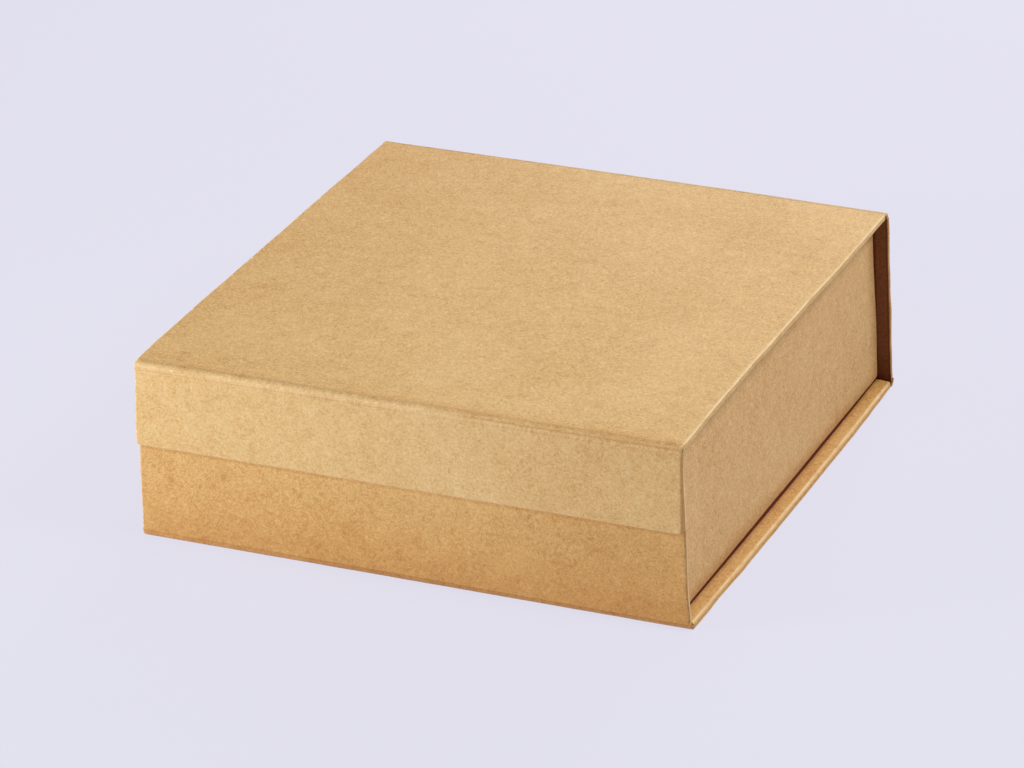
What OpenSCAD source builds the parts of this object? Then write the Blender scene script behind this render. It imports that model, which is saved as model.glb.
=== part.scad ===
// Closed flat-pack gift box of wrapped board, with a hinged lid and a front flap held shut by magnets.
// Five full-width panels follow one another in a single kraft wrap: flap, lid, back, base and front wall.
// Two side walls stand inside them, set in from the ends, and are stuck in place by their end tabs.
// X runs across the front, Y from the front to the back, Z up. The origin is the middle of the footprint, on the surface below.

/* [Case] */
// Width of the base, front wall and back panel
case_w = 226; // [180:1:300]
// How much narrower the lid and flap are than the base, both ends together
lid_narrow = 2.0; // [0:0.1:2.4]
// How much narrower the front wall is than the base, both ends together
front_narrow = 1.8; // [0:0.1:2.4]
// Depth from the face of the front wall to the face of the back panel
case_d = 232; // [180:1:300]
// Height of the closed box
case_h = 77; // [60:0.5:110]
// Thickness of a wrapped panel, board and paper together
panel_t = 2.6; // [2.2:0.1:3.2]

/* [Flap] */
// Height of the front flap, from the top of the lid to its lower edge
flap_h = 35.5; // [30:0.5:44]
// Gap between the flap's board and the face of the front wall
flap_gap = 0.5; // [0.4:0.05:0.8]

/* [Side walls] */
// How far each side wall stands in from the end of the base
wall_inset = 5.8; // [4:0.1:12]
// Open gap between the lower edge of a side wall and the base
wall_gap = 1.0; // [0.6:0.1:1.6]
// Width of the end tabs that fold in behind the front wall and the back panel
tab_w = 26; // [18:1:32]
// Thickness of an end tab
tab_t = 2.0; // [1.6:0.1:2.4]
// How much the free end of a tab tapers at its top and bottom
tab_taper = 5; // [3:0.5:8]
// Leg of the paper angle that joins a side wall to the base
strip_leg = 12; // [8:1:18]

/* [Paper] */
// Thickness of the lining paper
lining_t = 0.25; // [0.2:0.05:0.35]
// How far the lining stays back from a free edge of its panel
lining_margin = 4; // [3:0.5:8]
// Thickness of the paper where it folds between two panels, wrap and lining stuck together
fold_t = 0.6; // [0.4:0.1:0.8]
// Radius of the paper over a free long edge of a panel
edge_r = 0.7; // [0.4:0.05:1.0]
// Radius of a free panel corner seen face on
corner_r = 1.4; // [1.0:0.1:2.5]
// Thickness of the double-sided tape behind a tab
tape_t = 0.15; // [0.1:0.05:0.2]
// Width of the double-sided tape
tape_w = 16; // [8:1:16]

/* [Magnets] */
// Diameter of the closing discs
magnet_d = 12; // [8:0.5:14]
// Thickness of the closing discs
magnet_t = 1.5; // [1.0:0.1:1.6]
// Distance of each disc from the middle of the box
magnet_x = 62; // [20:1:64]
// Distance from the flap's lower edge to the middle of a disc
magnet_up = 12; // [10:0.5:15]

/* [Hidden] */

$fn = 48;
eps = 0.01;
// Clearance between a panel's edge and a fold that it turns away from
turn_gap = 0.3;
// Clearance between the lid's lining and the rim of the tray
rim_gap = 0.15;
// Radial and end clearance of a disc in its pocket
pocket_play = 0.2;
pocket_end = 0.05;

lid_w = case_w - lid_narrow;
lid_hx = lid_w / 2;
case_hx = case_w / 2;
front_hx = (case_w - front_narrow) / 2;
flap_out = flap_gap + panel_t;
y_mid = (case_d - flap_out) / 2;
rim_z = case_h - panel_t - lining_t - rim_gap;
wall_out = case_hx - wall_inset;
wall_in = wall_out - panel_t;
floor_z = panel_t + lining_t;
tab_y = floor_z + tape_t;
flap_low = case_h - flap_h;
magnet_z = flap_low + magnet_up;
disc_pocket = magnet_t + 2 * pocket_end;

kraft = [0.80, 0.64, 0.42];
kraft_light = [0.84, 0.69, 0.48];
kraft_dark = [0.70, 0.53, 0.33];
tape_white = [0.90, 0.89, 0.86];
nickel = [0.75, 0.76, 0.78];

// Moves the drawing frame, whose Y is 0 on the face of the front wall, to the middle of the footprint
module place() { translate([0, -y_mid, 0]) children(); }

// The same piece on the other side of the box
module both_ways(side) { if (side < 0) mirror([1, 0, 0]) children(); else children(); }

// Corner points of a plate with rounded corners r = [low-low, high-low, high-high, low-high]
function corner_pts(a, b, sa, sb, r, first) =
  r == 0 ? [[a, b]]
         : first ? [[a, b - sb * r], [a - sa * r, b]] : [[a - sa * r, b], [a, b - sb * r]];

// Flat outline from (a0, b0) to (a1, b1)
module plate(a0, a1, b0, b1, r) {
  polygon(concat(
    corner_pts(a0, b0, -1, -1, r[0], true),
    corner_pts(a1, b0, 1, -1, r[1], false),
    corner_pts(a1, b1, 1, 1, r[2], true),
    corner_pts(a0, b1, -1, 1, r[3], false)));
  if (r[0] > 0) translate([a0 + r[0], b0 + r[0]]) circle(r[0]);
  if (r[1] > 0) translate([a1 - r[1], b0 + r[1]]) circle(r[1]);
  if (r[2] > 0) translate([a1 - r[2], b1 - r[2]]) circle(r[2]);
  if (r[3] > 0) translate([a0 + r[3], b1 - r[3]]) circle(r[3]);
}

// Extrusions of a flat outline: its axes become Y and Z, X and Z, or X and Y
module along_x(x0, x1) { translate([x0, 0, 0]) rotate([90, 0, 90]) linear_extrude(x1 - x0) children(); }
module along_y(y0, y1) { translate([0, y1, 0]) rotate([90, 0, 0]) linear_extrude(y1 - y0) children(); }
module along_z(z0, z1) { translate([0, 0, z0]) linear_extrude(z1 - z0) children(); }

// A wrapped panel: a box whose free edges are rounded by three crossing outlines.
// ryz, rxz and rxy are the corner radii of its outlines seen along X, Y and Z.
module panel(x, y, z, ryz, rxz, rxy) {
  intersection() {
    along_x(x[0], x[1]) plate(y[0], y[1], z[0], z[1], ryz);
    along_y(y[0], y[1]) plate(x[0], x[1], z[0], z[1], rxz);
    along_z(z[0], z[1]) plate(x[0], x[1], y[0], y[1], rxy);
  }
}

// Paper folded a quarter turn about (cy, cz), on the side given by sy and sz
module fold(half_w, cy, cz, sy, sz) {
  along_x(-half_w, half_w)
    translate([cy, cz])
      intersection() {
        difference() { circle(panel_t); circle(panel_t - fold_t); }
        translate([sy < 0 ? -panel_t - 1 : 0, sz < 0 ? -panel_t - 1 : 0]) square(panel_t + 1);
      }
}

// Disc with its axis along Y
module disc(x, y0, y1, z, d) { translate([x, y1, z]) rotate([90, 0, 0]) cylinder(h = y1 - y0, d = d); }

// --- Tray: base, front wall, back panel and side walls ---

module base_panel() color(kraft) place()
  panel([-case_hx, case_hx], [panel_t, case_d - panel_t], [0, panel_t],
        [0, 0, 0, 0], [edge_r, edge_r, edge_r, edge_r], [0, 0, 0, 0]);

module front_wall() color(kraft) place()
  difference() {
    panel([-front_hx, front_hx], [0, panel_t], [panel_t, rim_z],
          [0, 0, edge_r, edge_r], [0, 0, corner_r, corner_r], [edge_r, edge_r, edge_r, edge_r]);
    for (s = [-1, 1])
      disc(s * magnet_x, panel_t - disc_pocket, panel_t + 1, magnet_z, magnet_d + 2 * pocket_play);
  }

module back_panel() color(kraft) place()
  panel([-case_hx, case_hx], [case_d - panel_t, case_d], [panel_t, case_h - panel_t],
        [0, 0, 0, 0], [0, 0, 0, 0], [edge_r, edge_r, edge_r, edge_r]);

module base_front_fold() color(kraft_light) place() fold(case_hx, panel_t, panel_t, -1, -1);

module base_back_fold() color(kraft_light) place() fold(case_hx, case_d - panel_t, panel_t, 1, -1);

module lid_back_fold() color(kraft_light) place() fold(lid_hx, case_d - panel_t, case_h - panel_t, 1, 1);

module side_wall(side) color(kraft_dark) place() both_ways(side)
  panel([wall_in, wall_out], [floor_z + 0.05, case_d - floor_z - 0.05], [panel_t + wall_gap, rim_z],
        [corner_r, corner_r, corner_r, corner_r], [edge_r, edge_r, edge_r, edge_r],
        [edge_r, edge_r, edge_r, edge_r]);

module left_wall() side_wall(-1);
module right_wall() side_wall(1);

// Tapered tab behind the front wall, or behind the back panel where back is true
module end_tab(side, back) color(kraft) place() both_ways(side)
  translate([0, back ? case_d : 0, 0]) mirror([0, back ? 1 : 0, 0])
    along_y(tab_y, tab_y + tab_t)
      polygon([
        [wall_in - 0.1, panel_t + wall_gap],
        [wall_in - 0.1, rim_z - 1],
        [wall_in - tab_w, rim_z - 1 - tab_taper],
        [wall_in - tab_w, panel_t + wall_gap + tab_taper]]);

module left_front_tab() end_tab(-1, false);
module left_back_tab() end_tab(-1, true);
module right_front_tab() end_tab(1, false);
module right_back_tab() end_tab(1, true);

// Double-sided tape between a tab and the lining behind it
module tab_tape(side, back) color(tape_white) place() both_ways(side)
  translate([0, back ? case_d : 0, 0]) mirror([0, back ? 1 : 0, 0])
    translate([wall_in - tab_w / 2 - tape_w / 2, floor_z, panel_t + wall_gap + tab_taper + 2])
      cube([tape_w, tape_t, rim_z - panel_t - wall_gap - 2 * tab_taper - 5]);

module left_front_tape() tab_tape(-1, false);
module left_back_tape() tab_tape(-1, true);
module right_front_tape() tab_tape(1, false);
module right_back_tape() tab_tape(1, true);

// Paper angle in the inner corner of a side wall and the base
module wall_strip(side) color(kraft_light) place() both_ways(side)
  along_y(tab_y + tab_t + 1, case_d - tab_y - tab_t - 1)
    polygon([
      [wall_in, floor_z], [wall_in, floor_z + strip_leg],
      [wall_in - 0.2, floor_z + strip_leg], [wall_in - 0.2, floor_z + 0.2],
      [wall_in - strip_leg, floor_z + 0.2], [wall_in - strip_leg, floor_z]]);

module left_wall_strip() wall_strip(-1);
module right_wall_strip() wall_strip(1);

// Lining paper in one piece: up the front wall, over the base and up the back panel
module tray_lining() color(kraft_light) place()
  along_x(-(wall_in - 0.05), wall_in - 0.05)
    polygon([
      [panel_t, panel_t], [case_d - panel_t, panel_t],
      [case_d - panel_t, rim_z - lining_margin], [case_d - floor_z, rim_z - lining_margin],
      [case_d - floor_z, floor_z], [floor_z, floor_z],
      [floor_z, rim_z - lining_margin], [panel_t, rim_z - lining_margin]]);

module keeper(side) color(nickel) place()
  disc(side * magnet_x, panel_t - disc_pocket + pocket_end, panel_t - pocket_end, magnet_z, magnet_d);

module left_keeper() keeper(-1);
module right_keeper() keeper(1);

// --- Lid ---

module lid_panel() color(kraft) place()
  panel([-lid_hx, lid_hx], [-flap_gap, case_d - panel_t - turn_gap], [case_h - panel_t, case_h],
        [0, 0, 0, 0], [edge_r, edge_r, edge_r, edge_r], [0, 0, 0, 0]);

module lid_front_fold() color(kraft_light) place() fold(lid_hx, -flap_gap, case_h - panel_t, -1, 1);

module lid_lining() color(kraft_light) place()
  along_z(case_h - panel_t - lining_t, case_h - panel_t)
    plate(-(lid_hx - lining_margin), lid_hx - lining_margin,
          0.5, case_d - panel_t - turn_gap - 1, [1, 1, 1, 1]);

// --- Flap ---

module flap_panel() color(kraft) place()
  difference() {
    panel([-lid_hx, lid_hx], [-flap_out, -flap_gap], [flap_low, case_h - panel_t - turn_gap],
          [edge_r, edge_r, 0, 0], [corner_r, corner_r, 0, 0], [edge_r, edge_r, edge_r, edge_r]);
    for (s = [-1, 1])
      disc(s * magnet_x, -flap_gap - disc_pocket, -flap_gap + 1, magnet_z, magnet_d + 2 * pocket_play);
  }

module flap_lining() color(kraft_light) place()
  along_y(-flap_gap, -flap_gap + lining_t)
    plate(-(lid_hx - lining_margin), lid_hx - lining_margin,
          flap_low + lining_margin, case_h - panel_t - turn_gap - 1, [1, 1, 1, 1]);

module magnet(side) color(nickel) place()
  disc(side * magnet_x, -flap_gap - disc_pocket + pocket_end, -flap_gap - pocket_end, magnet_z, magnet_d);

module left_magnet() magnet(-1);
module right_magnet() magnet(1);

base_panel();
front_wall();
back_panel();
base_front_fold();
base_back_fold();
lid_back_fold();
left_wall();
right_wall();
left_front_tab();
left_back_tab();
right_front_tab();
right_back_tab();
left_front_tape();
left_back_tape();
right_front_tape();
right_back_tape();
left_wall_strip();
right_wall_strip();
tray_lining();
left_keeper();
right_keeper();
lid_panel();
lid_front_fold();
lid_lining();
flap_panel();
flap_lining();
left_magnet();
right_magnet();
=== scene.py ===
import math

import bpy
import numpy as np
from mathutils import Matrix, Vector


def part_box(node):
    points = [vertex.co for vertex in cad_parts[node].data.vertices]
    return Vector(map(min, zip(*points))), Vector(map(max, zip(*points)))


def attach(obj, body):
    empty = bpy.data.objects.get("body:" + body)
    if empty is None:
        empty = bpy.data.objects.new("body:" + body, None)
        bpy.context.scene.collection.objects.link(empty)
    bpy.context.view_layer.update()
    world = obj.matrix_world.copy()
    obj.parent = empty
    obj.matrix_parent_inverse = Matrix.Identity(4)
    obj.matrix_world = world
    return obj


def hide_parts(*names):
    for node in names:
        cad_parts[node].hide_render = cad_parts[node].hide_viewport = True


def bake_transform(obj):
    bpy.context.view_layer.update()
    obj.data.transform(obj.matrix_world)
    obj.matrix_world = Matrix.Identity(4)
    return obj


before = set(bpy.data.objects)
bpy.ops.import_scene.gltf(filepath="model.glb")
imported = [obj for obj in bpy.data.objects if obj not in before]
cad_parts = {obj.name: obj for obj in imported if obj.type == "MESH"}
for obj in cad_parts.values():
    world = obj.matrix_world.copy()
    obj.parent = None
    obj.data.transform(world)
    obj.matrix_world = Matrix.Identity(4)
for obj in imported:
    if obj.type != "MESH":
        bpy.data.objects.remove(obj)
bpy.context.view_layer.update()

# ---------------------------------------------------------------------------
# Sizes, in millimetres in the row frame
# ---------------------------------------------------------------------------


def node_box(name):
    lo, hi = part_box(name)
    return np.array(lo) * 1000.0, np.array(hi) * 1000.0


T = 2.6            # wrapped panel
FOLD_T = 0.6       # paper of a fold
EDGE_R = 0.75      # paper over a free edge
END_R = 0.55       # board end beside a fold
CORNER_R = 1.5     # free corner, face on

# ---------------------------------------------------------------------------
# Seeded smooth noise for shapes
# ---------------------------------------------------------------------------


class Waves:
    """Sum of seeded sine waves in two variables, from -1 to 1 or so."""

    def __init__(self, seed, shortest, longest, count=9):
        r = np.random.default_rng(seed)
        length = np.exp(r.uniform(math.log(shortest), math.log(longest), count))
        turn = r.uniform(0, 2 * math.pi, count)
        self.k = np.stack([np.cos(turn), np.sin(turn)], 1) * (2 * math.pi / length)[:, None]
        self.phase = r.uniform(0, 2 * math.pi, count)
        self.weight = length ** 0.6
        self.weight /= np.sqrt((self.weight ** 2).sum() / 2) * 1.6

    def __call__(self, a, b):
        a, b = np.broadcast_arrays(np.asarray(a, float), np.asarray(b, float))
        s = np.zeros(a.shape)
        for k, p, w in zip(self.k, self.phase, self.weight):
            s += w * np.sin(a * k[0] + b * k[1] + p)
        return s


def smooth(x, lo, hi):
    t = np.clip((np.asarray(x, float) - lo) / (hi - lo), 0, 1)
    return t * t * (3 - 2 * t)


def lines(lo, hi, step, marks=()):
    """Grid lines from lo to hi, closer together towards both ends, through the marks."""
    near = [0, 0.15, 0.35, 0.6, 0.95, 1.5, 2.3, 3.4, 4.8, 6.6]
    near = [n for n in near if n < (hi - lo) * 0.42]
    inner = np.linspace(lo + near[-1], hi - near[-1], max(2, round((hi - lo - 2 * near[-1]) / step) + 1))
    xs = sorted([lo + n for n in near[:-1]] + list(inner) + [hi - n for n in near[:-1]])
    for m in marks:
        gap = [abs(x - m) for x in xs]
        k = int(np.argmin(gap))
        if gap[k] < step * 0.45 and 0 < k < len(xs) - 1:
            xs[k] = m
        else:
            xs = sorted(xs + [m])
    return np.array(xs)


# ---------------------------------------------------------------------------
# Meshes
# ---------------------------------------------------------------------------


def mesh_object(name, co_mm, faces, values=None, vectors=None):
    me = bpy.data.meshes.new(name)
    co = np.asarray(co_mm, float) * 0.001
    me.from_pydata(co.tolist(), [], [tuple(int(i) for i in f) for f in faces])
    me.update()
    for key, v in (values or {}).items():
        at = me.attributes.new(key, "FLOAT", "POINT")
        at.data.foreach_set("value", np.asarray(v, np.float32))
    for key, v in (vectors or {}).items():
        at = me.attributes.new(key, "FLOAT_VECTOR", "POINT")
        at.data.foreach_set("vector", np.asarray(v, np.float32).ravel())
    me.polygons.foreach_set("use_smooth", [True] * len(me.polygons))
    ob = bpy.data.objects.new(name, me)
    bpy.context.scene.collection.objects.link(ob)
    return ob


def board(name, origin, ea, eb, A, B, seed, t=T, folds="", step=2.6, dips=None, lead=6.5, swell=0.07,
          wobble=0.09, shoulder=0.0, holes=(), warp=None, r=EDGE_R, cr=CORNER_R, groove=0.13, rub_and_highlight=None, fade=None,
          shade=None, gleam=None, shade_brown=None, tone=None):
    """A wrapped panel as one closed mesh. Its outer face is a grid of A by B at height t above origin, and paper
    rolls over its free edges; an edge named in folds (a-, a+, b-, b+) meets a paper fold and sinks towards it.
    rub_and_highlight says how rubbed each free edge is and how much painted highlight it carries, fade how much painted
    shade darkens the face towards each fold and over how many millimetres, shade, gleam and shade_brown how much
    painted shade, rubbed paleness with painted highlight, and brown painted shade the rows of a free edge carry, from
    the face to the inner side, and tone how much brown painted shade darkens the face at a point."""
    rub_and_highlight, fade, shade, gleam, shade_brown = rub_and_highlight or {}, fade or {}, shade or {}, gleam or {}, shade_brown or {}
    o, ea, eb = (np.array(v, float) for v in (origin, ea, eb))
    ec = np.cross(ea, eb)
    dips = dips or {}
    sides = ("a-", "a+", "b-", "b+")
    rad = {s: (END_R if s in folds.split() else r) for s in sides}
    marks_a, marks_b = [], []
    for (ha, hb, hr, hd) in holes:
        marks_a += [ha - hr - 1.6, ha + hr + 1.6]
        marks_b += [hb - hr - 1.6, hb + hr + 1.6]
    la = lines(rad["a-"], A - rad["a+"], step, marks_a)
    lb = lines(rad["b-"], B - rad["b+"], step, marks_b)
    na, nb = len(la), len(lb)
    ga, gb = (g.ravel() for g in np.meshgrid(la, lb, indexing="ij"))
    corner = {}
    for sa in ("a-", "a+"):
        for sb in ("b-", "b+"):
            big = max(rad[sa], rad[sb])
            R = cr if not ({sa, sb} & set(folds.split())) else big + 0.12
            corner[sa, sb] = max(R, big + 0.12)

    def rounded(a, b, oa, ob):
        """Square corners of the plan turned into round ones. oa and ob say how far a point lies outside the grid."""
        a, b = a.copy(), b.copy()
        for (sa, sb), R in corner.items():
            ca = R if sa == "a-" else A - R
            cb = R if sb == "b-" else B - R
            da = (ca - a) if sa == "a-" else (a - ca)
            db = (cb - b) if sb == "b-" else (b - cb)
            hit = (da > 1e-9) & (db > 1e-9)
            if not hit.any():
                continue
            ha, hb = R - rad[sa], R - rad[sb]
            xa, xb = da[hit] / ha, db[hit] / hb
            m = np.maximum(xa, xb)
            f = m / np.maximum(np.hypot(xa, xb), 1e-9)
            pa = xa * f * (ha + oa[hit])
            pb = xb * f * (hb + ob[hit])
            a[hit] = ca - pa if sa == "a-" else ca + pa
            b[hit] = cb - pb if sb == "b-" else cb + pb
        return a, b

    zero = np.zeros(len(ga))
    fa, fb = rounded(ga, gb, zero, zero)
    waves = Waves(seed, 18, 120)
    rim = Waves(seed + 500, 9, 60)
    # distance to each edge of the panel
    away = {"a-": fa, "a+": A - fa, "b-": fb, "b+": B - fb}
    height = np.full(len(ga), float(t))
    hold = np.ones(len(ga))
    crease = np.zeros(len(ga))
    wear_and_highlight = np.zeros(len(ga))
    for s in sides:
        if s in folds.split():
            d = away[s] - rad[s]
            height -= dips.get(s, 0.12) * (1 - smooth(d, 0, lead)) ** 2
            hold *= smooth(d, 0, 14)
            # painted shade on the face towards the fold
            much, reach = fade.get(s, (0.4, 4.5))
            if callable(much):
                much = much(fa if s[0] == "b" else fb)
            crease = np.maximum(crease, (1 - smooth(d, -0.4, reach)) * much)
        else:
            d = away[s] - rad[s]
            if shoulder:
                height -= shoulder * (1 - smooth(d, 0, 4.5)) ** 2
            hold *= smooth(d, -2, 10) * 0.6 + 0.4
            # rubbed edge paper, partly a painted highlight
            wear_and_highlight = np.maximum(wear_and_highlight, 0.6 * (1 - smooth(d, 0.0, 0.5)) * rub_and_highlight.get(s, 0.25))
    # painted shade across the face
    if tone:
        crease = np.maximum(crease, tone(fa, fb))
    height += swell * waves(ga, gb) * hold
    verts = [np.stack([fa, fb, height], 1)]
    attrs = {"crease": [crease], "wear_and_highlight": [wear_and_highlight], "dark": [np.zeros(len(ga))]}
    # loop round the outer grid, counter-clockwise seen from outside
    idx = np.arange(na * nb).reshape(na, nb)
    loop = np.concatenate([idx[:-1, 0], idx[-1, :-1], idx[:0:-1, -1], idx[0, :0:-1]])
    n = len(loop)
    pa, pb = ga[loop], gb[loop]
    on = {"a-": pa <= la[0] + 1e-9, "a+": pa >= la[-1] - 1e-9, "b-": pb <= lb[0] + 1e-9, "b+": pb >= lb[-1] - 1e-9}
    top_h = height[loop]
    # a profile: (share of the radius outwards, drop below the top, upward share, rubbing with painted highlight, crease
    # with painted shade)
    arc = [(math.sin(math.radians(q)), 1 - math.cos(math.radians(q))) for q in (18, 36, 54, 72, 90)]
    rows = []
    for k, (so, sd) in enumerate(arc):
        rows.append(("top", so, sd, (0.75, 1.0, 0.95, 0.6, 0.3)[k], 0.0))
    for c_share, g_share, w, cz in ((0.30, 0.35, 0.1, 0.25), (0.46, 1.0, 0.0, 0.8), (0.62, 0.35, 0.15, 0.2)):
        rows.append(("mid", c_share, g_share, w, cz))
    for k, q in enumerate((0, 30, 60, 90)):
        rows.append(("low", math.cos(math.radians(q)), math.sin(math.radians(q)), (0.3, 0.5, 0.5, 0.2)[k], 0.0))
    rows.append(("end", 0.0, 0.0, 0.0, 0.0))
    low_r = 0.45
    wob = rim(pa * 1.0, pb * 1.0 + 37.0) * wobble
    wob *= np.minimum(smooth(np.minimum(pa, A - pa), 0, 8) + smooth(np.minimum(pb, B - pb), 0, 8), 1)
    for row, (kind, p, q, w, cz) in enumerate(rows):
        out = np.zeros((2, n))
        drop = np.zeros(n)
        tally = np.zeros(n)
        for s in sides:
            rs = rad[s]
            if kind == "top":
                off, c = rs * p, top_h - rs * q
            elif kind == "mid":
                off, c = rs - (0.0 if s in folds.split() else groove) * q, top_h - rs - (t - rs - low_r) * p
            elif kind == "low":
                off, c = rs - low_r * (1 - p), np.full(n, low_r * (1 - q))
            else:
                off, c = 0.0, np.zeros(n)
            k = 0 if s[0] == "a" else 1
            grow = wob * (0.0 if s in folds.split() or kind == "end" else min(1.0, off / rs))
            out[k][on[s]] = (off + grow)[on[s]] if np.ndim(grow) else off
            drop[on[s]] += c[on[s]]
            tally[on[s]] += 1
        drop /= tally
        a1 = pa + np.where(on["a+"], out[0], 0) - np.where(on["a-"], out[0], 0)
        b1 = pb + np.where(on["b+"], out[1], 0) - np.where(on["b-"], out[1], 0)
        # inside a corner's square the grid point is first scaled with the ring, then rounded
        oa = np.zeros(n)
        ob = np.zeros(n)
        ra, rb = pa.copy(), pb.copy()
        for (sa, sb), R in corner.items():
            ca = R if sa == "a-" else A - R
            cb = R if sb == "b-" else B - R
            da = (ca - pa) if sa == "a-" else (pa - ca)
            db = (cb - pb) if sb == "b-" else (pb - cb)
            hit = (da > 1e-9) & (db > 1e-9)
            offs = []
            for s in (sa, sb):
                rs = rad[s]
                offs.append({"top": rs * p, "mid": rs - (0.0 if s in folds.split() else groove) * q,
                             "low": rs - low_r * (1 - p), "end": 0.0}[kind])
            oa[hit], ob[hit] = offs
        ra2, rb2 = rounded(ra, rb, oa, ob)
        # only points inside a corner's square take the rounded place
        in_corner = np.zeros(n, bool)
        for (sa, sb), R in corner.items():
            ca = R if sa == "a-" else A - R
            cb = R if sb == "b-" else B - R
            da = (ca - pa) if sa == "a-" else (pa - ca)
            db = (cb - pb) if sb == "b-" else (pb - cb)
            in_corner |= (da > 1e-9) & (db > 1e-9)
        a1 = np.where(in_corner, ra2, a1)
        b1 = np.where(in_corner, rb2, b1)
        verts.append(np.stack([a1, b1, drop], 1))
        # Per row: how rubbed it is with painted highlight, its painted shade and its brown painted shade; rows beside a
        # fold are darkened as painted shade
        free = np.ones(n)
        much, many, painted_shade, shine = np.zeros(n), np.zeros(n), np.zeros(n), np.zeros(n)
        brown = np.full(n, float(cz))
        for s in sides:
            if s in folds.split():
                free[on[s]] = 0.0
            much[on[s]] += rub_and_highlight.get(s, 0.25)
            many[on[s]] += 1
            if s in shade:
                painted_shade[on[s]] = shade[s][row]
            if s in gleam:
                shine[on[s]] = gleam[s][row]
            if s in shade_brown:
                brown[on[s]] = shade_brown[s][row]
        attrs["wear_and_highlight"].append(np.maximum(w * much / many, shine) * free)
        attrs["crease"].append(np.where(free > 0, brown, 0.9))
        attrs["dark"].append(painted_shade * free)
    n_top = na * nb
    rings = [loop] + [n_top + k * n + np.arange(n) for k in range(len(rows))]
    # inner face: the same grid at height 0, whose outline is the last ring
    inner = np.full(n_top, -1)
    inner[loop] = rings[-1]
    rest = np.where(inner < 0)[0]
    first = n_top + len(rows) * n
    inner[rest] = first + np.arange(len(rest))
    verts.append(np.stack([fa[rest], fb[rest], np.zeros(len(rest))], 1))
    for v in attrs.values():
        v.append(np.zeros(len(rest)))
    co = np.concatenate(verts)
    faces = []
    q = idx
    faces.append(np.stack([q[:-1, :-1], q[1:, :-1], q[1:, 1:], q[:-1, 1:]], -1).reshape(-1, 4))
    for k in range(len(rings) - 1):
        u, v = rings[k], rings[k + 1]
        faces.append(np.stack([u, v, np.roll(v, -1), np.roll(u, -1)], 1))
    low = inner.reshape(na, nb)
    keep = np.ones((na - 1, nb - 1), bool)
    extra_co, extra_faces = [], []
    count = len(co)
    for (ha, hb, hr, hd) in holes:
        i0, i1 = (int(np.argmin(abs(la - x))) for x in (ha - hr - 1.6, ha + hr + 1.6))
        j0, j1 = (int(np.argmin(abs(lb - x))) for x in (hb - hr - 1.6, hb + hr + 1.6))
        keep[i0:i1, j0:j1] = False
        edge = ([(i, j0) for i in range(i0, i1)] + [(i1, j) for j in range(j0, j1)]
                + [(i, j1) for i in range(i1, i0, -1)] + [(i0, j) for j in range(j1, j0, -1)])
        ids = np.array([low[i, j] for i, j in edge])
        ang = np.array([math.atan2(lb[j] - hb, la[i] - ha) for i, j in edge])
        m = len(ids)
        ring_ids = [ids]
        for rr, cc in ((hr + 0.25, 0.0), (hr + 0.06, 0.07), (hr, 0.25), (hr, hd * 0.6), (hr, hd)):
            extra_co.append(np.stack([ha + rr * np.cos(ang), hb + rr * np.sin(ang), np.full(m, cc)], 1))
            ring_ids.append(count + np.arange(m))
            count += m
        for u, v in zip(ring_ids[:-1], ring_ids[1:]):
            extra_faces.append(np.stack([u, np.roll(u, -1), np.roll(v, -1), v], 1)[:, ::-1])
        extra_co.append(np.array([[ha, hb, hd]]))
        hub = count
        count += 1
        last = ring_ids[-1]
        extra_faces.append([(hub, b, a) for a, b in zip(last, np.roll(last, -1))])
    quads = np.stack([low[:-1, :-1], low[:-1, 1:], low[1:, 1:], low[1:, :-1]], -1)[keep]
    faces.append(quads.reshape(-1, 4))
    all_faces = [tuple(f) for block in faces for f in block]
    for block in extra_faces:
        all_faces += [tuple(f) for f in block]
    if extra_co:
        extra = np.concatenate(extra_co)
        co = np.concatenate([co, extra])
        for v in attrs.values():
            v.append(np.zeros(len(extra)))
    place = o + co[:, :1] * ea + co[:, 1:2] * eb + co[:, 2:3] * ec
    grain = place.copy()
    if warp is not None:
        place = warp(place)
    inside = 1 - smooth(co[:, 2], 0.05, 0.5)
    used = np.zeros(len(co), bool)
    used[np.unique(np.concatenate([np.asarray(f) for f in all_faces]))] = True
    new = np.cumsum(used) - 1
    all_faces = [tuple(new[list(f)]) for f in all_faces]
    ob = mesh_object(name, place[used], all_faces,
                     {"wear_and_highlight": np.concatenate(attrs["wear_and_highlight"])[used], "crease": np.concatenate(attrs["crease"])[used],
                      "dark": np.concatenate(attrs["dark"])[used], "inner": inside[used]}, {"grain": grain[used]})
    return ob


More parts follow.
